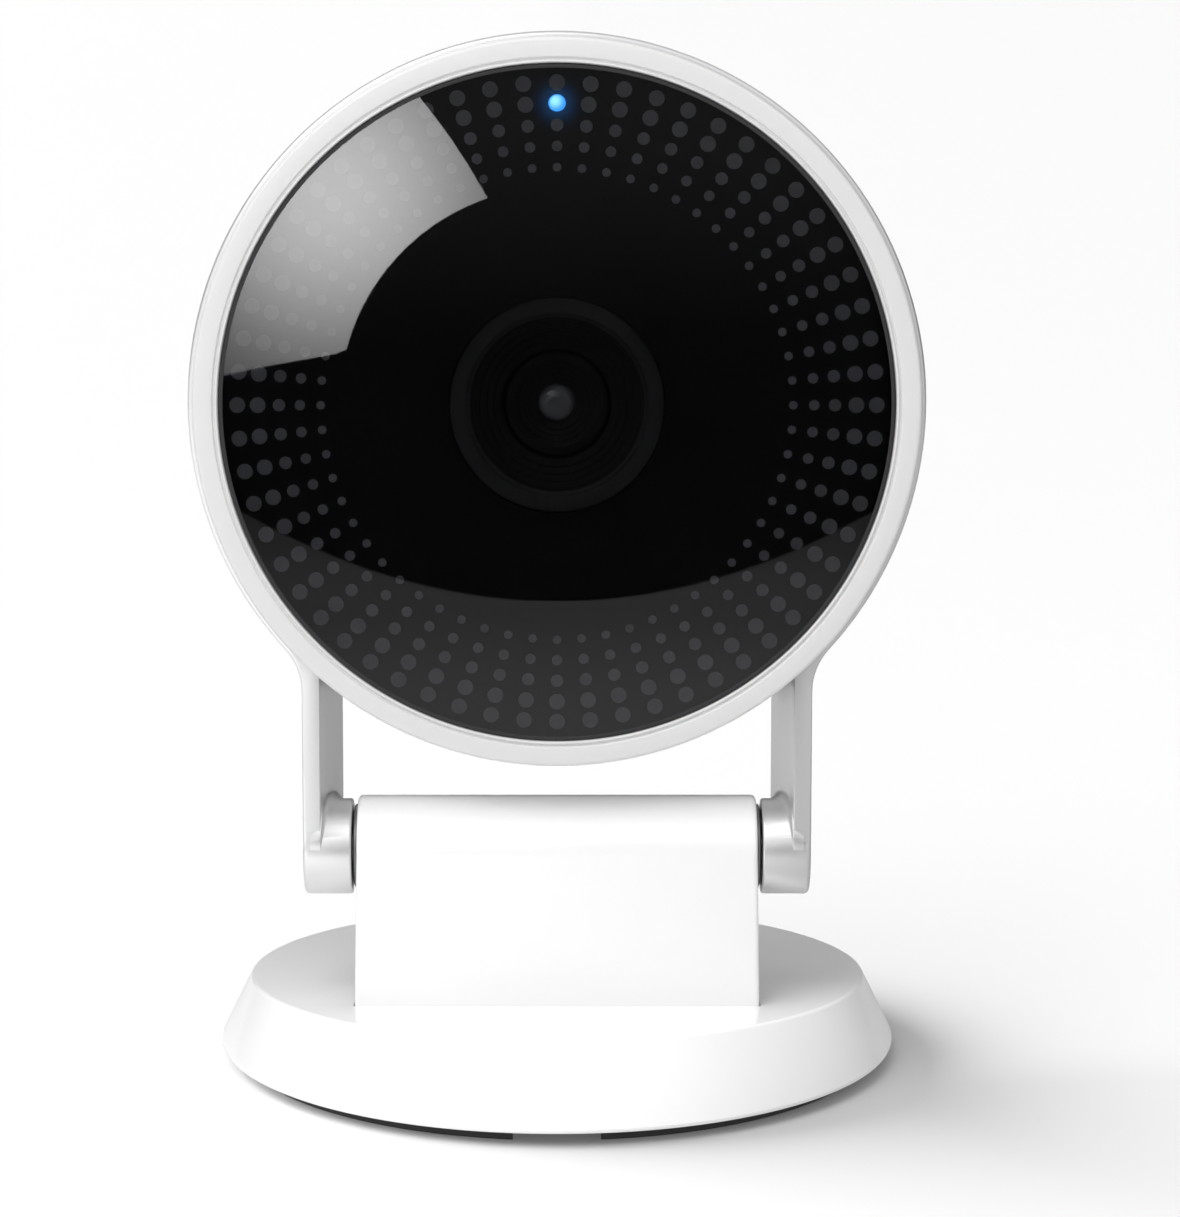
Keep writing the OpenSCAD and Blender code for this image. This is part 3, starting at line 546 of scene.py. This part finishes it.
def loft(sections):
    """A closed skin through sections that all have the same number of points."""
    shape = bmesh.new()
    loops = [loop_of(shape, points) for points in sections]
    for near, far in zip(loops, loops[1:]):
        bmesh.ops.bridge_loops(shape, edges=near + far)
    for loop in (loops[0], loops[-1]):
        bmesh.ops.contextual_create(shape, geom=loop)
    bmesh.ops.recalc_face_normals(shape, faces=shape.faces)
    return shape


yoke = loft(mirrored + stations)
boss = turned([(0, boss_in), (boss_r, boss_in, 0.25), (boss_r, leg_x, 0.55), (0, leg_x)], 128)
boss = moved(boss, turn(90, "Y"), turn(-90, "Y"))
yoke = combine(yoke, boss, "UNION")


def horn(side):
    """The raised fillet over one boss: wide at the rear, running to a point at the front."""
    sections = []
    for k in range(29):
        t = k / 28
        angle = math.radians(-58 + 143 * t)
        size = 1.9 * (1 - t) ** 0.75 + 0.05
        along = leg_inner(min(half_w, boss_r * math.sin(angle)))
        points = [(along + 1.2, boss_r - 0.8), (along - size, boss_r - 0.5)]
        points += [(along - size * (1 - math.sin(a)), boss_r - 0.04 + size * (1 - math.cos(a)))
                   for a in [math.pi / 2 * j / 7 for j in range(8)]]
        points.append((along + 0.35, boss_r + size * 0.98))
        points.append((along + 1.2, boss_r + size * 0.7))
        sections.append([Vector((side * x, r * math.cos(angle), r * math.sin(angle))) for x, r in points])
    return loft(sections)


yoke = combine(yoke, horn(1), "UNION")
yoke = combine(yoke, horn(-1), "UNION")
pin_hole, pocket_r, pocket_floor = 2.03, 3.6, leg_x - 2.4
bores = turned([(0, 20), (pin_hole, 20), (pin_hole, pocket_floor), (pocket_r, pocket_floor),
                (pocket_r, leg_x + 2), (0, leg_x + 2)], 64)
yoke = combine(yoke, moved(bores, turn(90, "Y"), turn(-90, "Y")), "DIFFERENCE")
satin_silver = Finish("satin_silver", (0.7, 0.7, 0.705), 0.35, Metallic=0.8).grained(0.14, 0.004, 0.02, 0.1)
piece("yoke", yoke, at_hinge, satin_silver, "head", ["yoke_frame"], 28)
cap_r, cap_back = 3.55, leg_x - 1.3
cap = turned([(0, cap_back), (cap_r, cap_back), (cap_r, leg_x - 0.12, 0.3), (0, leg_x - 0.02)], 96)
cap_paint = Finish("cap_paint", (0.4, 0.4, 0.41), 0.4, Metallic=0.7).grained(0.14, 0.005)
caps = moved(cap, turn(90, "Y"), turn(-90, "Y"))
piece("caps", caps, at_hinge, cap_paint, "head", ["boss_caps"])
dress(steel, "yoke_screws", "rear_screws")

# ---- Middle frame and bezel ----
# The white frame carries everything in the head, and the bezel ring snaps on to its front.
# Both are moulded in the same white plastic with a soft satin surface.
white_casing = Finish("white_casing", (0.67, 0.67, 0.668), 0.36).grained(0.3, 0.003, 0.006, 0.06)
dress(white_casing, "mid_frame")
glass_r, bezel_r, bezel_front, bezel_seat, glass_seat = 37.1, 40.15, 7.5, 4.2, 6.1
frame_r = band_in - 0.15
shape = turned([
    (glass_r - 0.7, bezel_seat), (frame_r, bezel_seat), (frame_r, half_w), (bezel_r, half_w, 0.1),
    (bezel_r, bezel_front, 0.42), (glass_r + 0.92, bezel_front, 0.12),
    (glass_r + 0.8, bezel_front - 0.28, 0.12), (glass_r + 0.62, bezel_front - 0.26, 0.1),
    (glass_r + 0.52, bezel_front - 0.02, 0.1), (glass_r + 0.34, bezel_front - 0.03, 0.1),
    (glass_r + 0.2, bezel_front - 0.5, 0.1), (glass_r + 0.1, glass_seat),
    (glass_r - 0.7, glass_seat)], 256, 4)
piece("bezel", shape, in_head, white_casing, "head", ["bezel_ring"], 40)

# ---- Rear shell ----
# A white cup with a rounded corner and a slightly crowned back, moulded in the casing's plastic.
# It has the speaker's holes, the power opening, the card's slot, the button's hole and four screw wells.
shell_corner, crown, corner_w = 6.95, 1.0, -7
flat_r, shell_wall = bezel_r - shell_corner, 1.8
button_x, button_u = 12, -24


def shell_line(inset):
    corner = [on_circle(flat_r, corner_w, shell_corner - inset, -math.radians(6 * k)) for k in range(16)]
    back = [Vector((flat_r * (1 - k / 10),
                    corner_w - shell_corner + inset - crown * (1 - (1 - k / 10) ** 2))) for k in range(1, 11)]
    return corner + back


line = [(bezel_r, -half_w, 0.15)] + [tuple(p) for p in shell_line(0)]
line += [tuple(p) for p in shell_line(shell_wall)[::-1]] + [(bezel_r - shell_wall, -half_w)]
shape = turned(line, 220)
cutter = bmesh.new()
bmesh.ops.create_cone(cutter, cap_ends=True, segments=16, radius1=0.72, radius2=0.55, depth=8)
pitch, speaker_u, speaker_r = 2.3, 19.0, 7.2
spots = [(pitch * (c + 0.5 * (r % 2)), pitch * 0.866 * r) for r in range(-3, 4) for c in range(-4, 5)]
holes = moved(cutter, *[shift(x, speaker_u + y, -13) for x, y in spots if math.hypot(x, y) < speaker_r])
wells = turned([(0, -20), (1.9, -20), (1.9, -10.4, 0.2), (0, -10.4)], 40)
screw_spots = ring_of(33.5, (45, 135, 225, 315))
wells = moved(wells, *screw_spots)
posts = turned([(0, -13.2), (2.5, -13.2), (2.5, -half_w - 0.1), (0, -half_w - 0.1)], 40)
shape = combine(shape, moved(posts, *screw_spots), "UNION")
shape = combine(shape, holes, "DIFFERENCE")
shape = combine(shape, wells, "DIFFERENCE")
power_opening = slab(-4.4, 4.4, -25.9, -22.1, -18, -11, 1.2, 5)
shape = combine(shape, power_opening, "DIFFERENCE")
button_hole = turned([(0, -18), (1.68, -18), (1.68, -11), (0, -11)], 48)
shape = combine(shape, moved(button_hole, shift(button_x, button_u)), "DIFFERENCE")
card_slot = slab(-44, -35, -5.75, 5.75, -8.85, -7.45, 0.25)
shape = combine(shape, card_slot, "DIFFERENCE")
piece("back_shell", shape, in_head, white_casing, "head", ["rear_shell"], 34)

# ---- Front glass, its seal and the printed film ----
# A slightly domed disc of tinted glass with a ground edge, bedded on a black seal. Behind it lies a film
# printed black, with five rings of grey dots and a clear spot for the status light.
glass_edge, dome, ground_edge = 1.1, 0.8, 0.12
rim_w, glass_back = glass_seat + glass_edge, glass_seat + 0.03
line = [(0, glass_back), (glass_r, glass_back, 0.05), (glass_r, rim_w - 0.1, 0.03),
        (glass_r - ground_edge, rim_w + 0.005, 0.03)]
rings = [0.996, 0.993] + [j / 24 for j in range(23, -1, -1)]
line += [(glass_r * k, rim_w + dome * (1 - k ** 2)) for k in rings]
tinted_glass = Finish("tinted_glass", (0.34, 0.345, 0.36), 0.02, Transmission_Weight=1.0, IOR=1.7)
smear = tinted_glass.spot.noise(26, 3.0)
tinted_glass.feed("Roughness", 0.008 + smear.ramp(0.45, 0.8) * 0.014)
piece("glass", turned(line, 256, 3), in_head, tinted_glass, "head", ["front_glass"], 20)
seal_in, seal_out, lip_r = glass_r + 0.01, glass_r + 0.09, glass_r - 0.3
seal = turned([(seal_in, glass_seat + 0.1), (seal_out, glass_seat + 0.1), (seal_out, rim_w + 0.1, 0.03),
               (lip_r, rim_w + 0.06, 0.02), (lip_r, rim_w + 0.02), (seal_in, rim_w + 0.02)], 256, 3)
seal_rubber = Finish("seal_rubber", (0.012, 0.012, 0.013), 0.6).grained(0.2, 0.01)
piece("glass_seal", seal, in_head, seal_rubber, "head", [])
printed_mask = Finish("printed_mask", (0.02, 0.02, 0.022), 0.75)
printed_mask.grained(0.2, 0.002, 0.1)
light_u = 32.95
painted_halo_r = 4.4
# painted light: the black film is given a blue glow that fades out from the status light, though the film is
# no lamp
lit = printed_mask.spot.distance(in_head @ Vector((0, light_u, 6.0)))
painted_halo = 1 - lit.ramp(0.0, painted_halo_r * MM)
printed_mask.feed("Emission Color", (painted_halo * painted_halo * painted_halo).tint((0, 0, 0), (0.012, 0.13, 0.38)))
printed_mask.shader.inputs["Emission Strength"].default_value = 1.0
border_in, border_out, border_back, border_front = 36.15, glass_r - 0.02, 6.104, 6.122
border = turned([(border_in, border_back), (border_out, border_back), (border_out, border_front),
                 (border_in, border_front)], 180)
piece("glass_border", border, in_head, seal_rubber, "head")
film_in, film_out, film_back, film_front = 12.0, 36.2, 5.75, 6.05
mask = turned([(film_in, film_back), (film_out, film_back), (film_out, film_front),
               (film_in, film_front)], 180)
eye = bmesh.new()
bmesh.ops.create_cone(eye, cap_ends=True, segments=32, radius1=0.95, radius2=0.95, depth=4)
mask = combine(mask, moved(eye, shift(0, light_u, 6)), "DIFFERENCE")
piece("film", mask, in_head, printed_mask, "head", ["dot_mask"])
dot_grey = Finish("dot_grey", (0.52, 0.52, 0.53), 0.8).grained(0.25, 0.002, 0.06)
dot = bmesh.new()
bmesh.ops.create_cone(dot, cap_ends=True, segments=22, radius1=1, radius2=1, depth=0.02)
places = [turn(6 * k) @ shift(0, u, 6.055) @ Matrix.Diagonal((r, r, 1, 1))
          for u, r in ((35.2, 0.88), (light_u, 0.88), (30.6, 0.7), (28.3, 0.59), (26.0, 0.48))
          for k in range(60) if u != light_u or k]
piece("film_dots", moved(dot, *places), in_head, dot_grey, "head")

# ---- Lamp card ----
# A lit card in front of the glass, seen only in gloss. It is cut to the shape that the domed glass throws
# back to the viewer as one soft-edged window high on its left, brightest at its middle.
card_plane = -505.0
eye_point = camera.location / MM
dome_normal = in_head.to_3x3().normalized()


def thrown(x, u):
    """Where the line of sight to a point of the glass is thrown on to, in the card's plane."""
    point = (in_head @ Vector((x, u, rim_w + dome * (1 - (x * x + u * u) / glass_r ** 2)))) / MM
    slope = Vector((2 * dome * x / glass_r ** 2, 2 * dome * u / glass_r ** 2, 1))
    normal = (dome_normal @ slope).normalized()
    sight = (point - eye_point).reflect(normal)
    return point + sight * ((card_plane - point.y) / sight.y)


lamp_in, lamp_out, hot_r, hot_angle = 23.9, 37.4, 34, math.radians(136)
shape = bmesh.new()
bmesh.ops.create_grid(shape, x_segments=24, y_segments=12, size=0.5)
for vert in shape.verts:
    out, round_to = vert.co.y + 0.5, vert.co.x + 0.5
    r = lamp_in + (lamp_out - lamp_in) * out
    first, last = 14.9 - 10.1 * out ** 0.7, 71.5 - 5.8 * out
    a = math.radians(180 - (first + (last - first) * round_to))
    vert.co = thrown(r * math.cos(a), r * math.sin(a)) * MM
lamp_glow = glow("lamp_glow", (1, 1, 1), 1.0)
hot = thrown(hot_r * math.cos(hot_angle), hot_r * math.sin(hot_angle)) * MM
away = lamp_glow.spot.distance(hot)
lamp_glow.feed("Emission Color", (1 - away.ramp(0.0, 0.085)).tint((1.1, 1.1, 1.1), (7.6, 7.6, 7.6)))
set_seen(plain_mesh("lamp_card", shape, lamp_glow.material), "glossy")

# ---- Lights ----
# A ring board behind the film carries eight infrared lamps and one blue light with a clear pipe.
# The lamps are dark epoxy domes, and the blue pipe ends flush behind the glass.
lamp = Finish("ir_lamp", (0.03, 0.012, 0.03), 0.12, Coat_Weight=0.5).grained(0.5, 0.001)
dress(lamp, "ir_leds")
blue = glow("blue_light", (0.06, 0.36, 1.0), 4.2)
# painted highlight: the blue glow is painted paler near a point up and to the left of the light's middle
spread = blue.spot.distance(in_head @ Vector((-0.22, light_u + 0.25, 6.0)))
blue.feed("Emission Color", spread.ramp(0.1 * MM, 1.1 * MM).tint((0.3, 0.75, 1.0), (0.04, 0.3, 0.95)))
blue.feed("Roughness", 0.2 + blue.spot.noise(0.4) * 0.1)
dress(blue, "light_pipe", "status_led")
circuit_board = Finish("circuit_board", (0.012, 0.07, 0.035), 0.38, Coat_Weight=0.3)
cells = circuit_board.spot.node("TexVoronoi", {"Vector": circuit_board.spot, "Scale": 1 / (1.1 * MM)},
                                {"distance": "MANHATTAN"})
tracks = circuit_board.spot.node("TexBrick", {"Vector": circuit_board.spot, "Scale": 1 / (5 * MM)}, output=1)
pads = 1 - cells.ramp(0.12, 0.16)
circuit_board.feed("Base Color", pads.tint((0.012, 0.07, 0.035), (0.55, 0.5, 0.36)))
circuit_board.feed("Metallic", pads * 0.9)
circuit_board.feed("Normal", circuit_board.spot.node("Bump", {"Height": tracks, "Distance": 0.02 * MM}))
dress(circuit_board, "led_board", "main_board", "sensor_board")
dress(steel, "led_board_screws", "board_screws", "lens_screws")
dress(black_plastic, "front_frame")

# ---- Lens ----
# A stepped black trim funnels down to the lens barrel, which screws into its holder. The small front
# element is coated glass. All of it is ribbed or matt inside to stop stray light.
lens_black = Finish("lens_black", (0.03, 0.03, 0.031), 0.5).grained(0.15, 0.004)
trim_black = Finish("trim_black", (0.1, 0.1, 0.1), 0.5).grained(0.15, 0.004)
trim_back, funnel_r, funnel_top = 1.8, 9.6, 4.9
trim = turned([(funnel_r, trim_back), (16.5, trim_back, 0.1), (16.5, 2.4, 0.1), (11.95, 2.4),
               (11.95, 5.6, 0.3), (9.97, 5.6, 0.25), (9.97, 5.0, 0.1), (funnel_r, funnel_top)], 180)
funnel = turned([(6.0, trim_back), (funnel_r, trim_back), (funnel_r, funnel_top), (9.4, 4.8), (9.25, 4.55),
                 (8.6, 4.45), (8.45, 4.2), (7.8, 4.1), (7.65, 3.85), (7.0, 3.75), (6.85, 3.5),
                 (6.0, 3.4, 0.1)], 180)
piece("trim_funnel", funnel, in_head, lens_black, "head")
piece("trim", trim, in_head, trim_black, "head", ["lens_trim"])
barrel = turned([(3.6, -5.5), (5.0, -5.5, 0.15), (5.0, -1, 0.1), (5.7, -1, 0.1), (5.7, 3.0, 0.3),
                 (4.7, 3.0, 0.15), (4.2, 2.72), (4.1, 2.5), (3.6, 2.4), (3.5, 2.2), (3.0, 2.1), (2.9, 1.85),
                 (2.1, 1.7, 0.05), (2.1, 1.2), (3.6, 1.2)], 128)
piece("barrel", barrel, in_head, lens_black, "head", ["lens_barrel"])
lens_glass = Finish("lens_glass", (0.46, 0.46, 0.46), 0.2, Coat_Weight=1.0, Coat_Roughness=0.08, IOR=1.7)
lens_glass.feed("Roughness", 0.18 + lens_glass.spot.noise(3.0) * 0.04)
ball_r, ball_w, ball_rise = 2.05, 1.25, 1.3
ball = [(ball_r * math.cos(a), ball_w + ball_rise * math.sin(a))
        for a in [math.pi / 2 * k / 12 for k in range(13)]]
front = turned([(0, -0.2), (3.57, -0.2, 0.1), (3.57, 1.15, 0.1), (ball_r, 1.15)] + ball, 96)
piece("lens_dome", front, in_head, lens_glass, "head", ["lens_front"], 25)
dress(lens_glass, "lens_middle", "lens_rear", "clear_filter")
dress(lens_black, "lens_retainer", "lens_holder")

# ---- Filter, sensor, boards and the rest of the inside ----
# The filter carriage slides behind the lens, over the sensor. The boards, the speaker and the sockets
# stand behind it. They keep their plain working shapes and get the finish of each part.
filter_red = Finish("ir_filter_glass", (0.35, 0.06, 0.12), 0.05, Coat_Weight=1.0).grained(2.0, 0.0005)
nylon = Finish("grey_nylon", (0.09, 0.09, 0.095), 0.55).grained(0.3, 0.01)
copper = Finish("copper", (0.72, 0.33, 0.16), 0.3, Metallic=1.0)
winding = copper.spot.node("TexWave", {"Vector": copper.spot, "Scale": 1 / (0.9 * MM)},
                           {"bands_direction": "X"})
copper.feed("Normal", copper.spot.node("Bump", {"Height": winding, "Distance": 0.08 * MM}))
copper.feed("Base Color", winding.tint((0.35, 0.12, 0.05), (0.8, 0.4, 0.2)))
amber = Finish("amber_flex", (0.35, 0.14, 0.02), 0.35).grained(0.8, 0.004, 0.15)
chip = Finish("chip_black", (0.02, 0.02, 0.022), 0.55).grained(0.2, 0.006)
sink = Finish("heat_sink_metal", (0.5, 0.51, 0.52), 0.42, Metallic=0.9).grained(0.3, 0.01, 0.08)
sheet = Finish("steel_sheet", (0.62, 0.62, 0.63), 0.28, Metallic=1.0).grained(0.4, 0.003, 0.05, 0.1)
dress(filter_red, "ir_cut_filter")
dress(nylon, "filter_carriage")
dress(copper, "filter_coil")
dress(amber, "sensor_flex", "led_flex")
dress(chip, "main_chip", "image_sensor", "reset_switch")
dress(sink, "heat_sink")
dress(sheet, "rf_shield", "microphone", "card_socket")
dress(bronze, "wifi_antenna")
dress(seal_rubber, "mic_boot", "speaker_gasket")
dress(black_plastic, "speaker")

# ---- Power socket, memory card and reset button ----
# A folded steel socket shows in the back's opening. The card is a thin black moulding with gold contacts,
# and the button is a white plastic plunger with a dished end.
socket_space = slab(-3.6, 3.6, -25.1, -22.9, -14, -8, 1.0, 6)
shape = combine(slab(-4, 4, -25.5, -22.5, -13, -7, 1.3, 6), socket_space, "DIFFERENCE")
piece("power_shell", shape, in_head, sheet, "head", ["usb_socket"])
tongue = slab(-2.8, 2.8, -24.4, -23.6, -12.4, -7.6, 0.15)
piece("power_tongue", tongue, in_head, black_plastic, "head")
card_end, card_in, card_half, card_w, card_t = -40.35, -25.35, 5.5, -8.55, 0.8
card = bmesh.new()
outline = rounded([(card_end, -card_half, 0.6), (card_in, -card_half, 0.5), (card_in, 4.3, 0.3),
                   (-31.3, 4.3, 0.2), (-31.9, card_half, 0.2), (card_end, card_half, 0.6)])
edges = loop_of(card, [(p.x, p.y, card_w) for p in outline])
side = bmesh.ops.contextual_create(card, geom=edges)["faces"]
far = bmesh.ops.extrude_face_region(card, geom=side)["geom"]
bmesh.ops.translate(card, vec=(0, 0, card_t), verts=[v for v in far if isinstance(v, bmesh.types.BMVert)])
bmesh.ops.recalc_face_normals(card, faces=card.faces)
rims = [e for e in card.edges if len(e.link_faces) == 2 and e.calc_face_angle() > 1.2
        and abs(e.verts[0].co.z - e.verts[1].co.z) < 0.01]
bmesh.ops.bevel(card, geom=rims, offset=0.1, segments=2, profile=0.5, affect="EDGES", material=-1)
piece("card", card, in_head, chip, "card", ["memory_card"])
contact = slab(-28.6, -25.8, -0.38, 0.38, -8.57, -8.5, 0.03, 1)
contacts = moved(contact, *[shift(0, -4.5 + 1.1 * k) for k in range(8)])
piece("card_contacts", contacts, in_head, bronze, "card")
button = turned([(0, -14.0), (0.9, -14.05), (1.5, -14.2, 0.25), (1.5, -12.2), (2.4, -12.2, 0.1),
                 (2.4, -11.5, 0.1), (1.5, -11.5), (1.5, -10.2, 0.15), (0, -10.2)], 64)
button = moved(button, shift(button_x, button_u))
piece("button", button, in_head, white_casing, "reset", ["reset_button"])
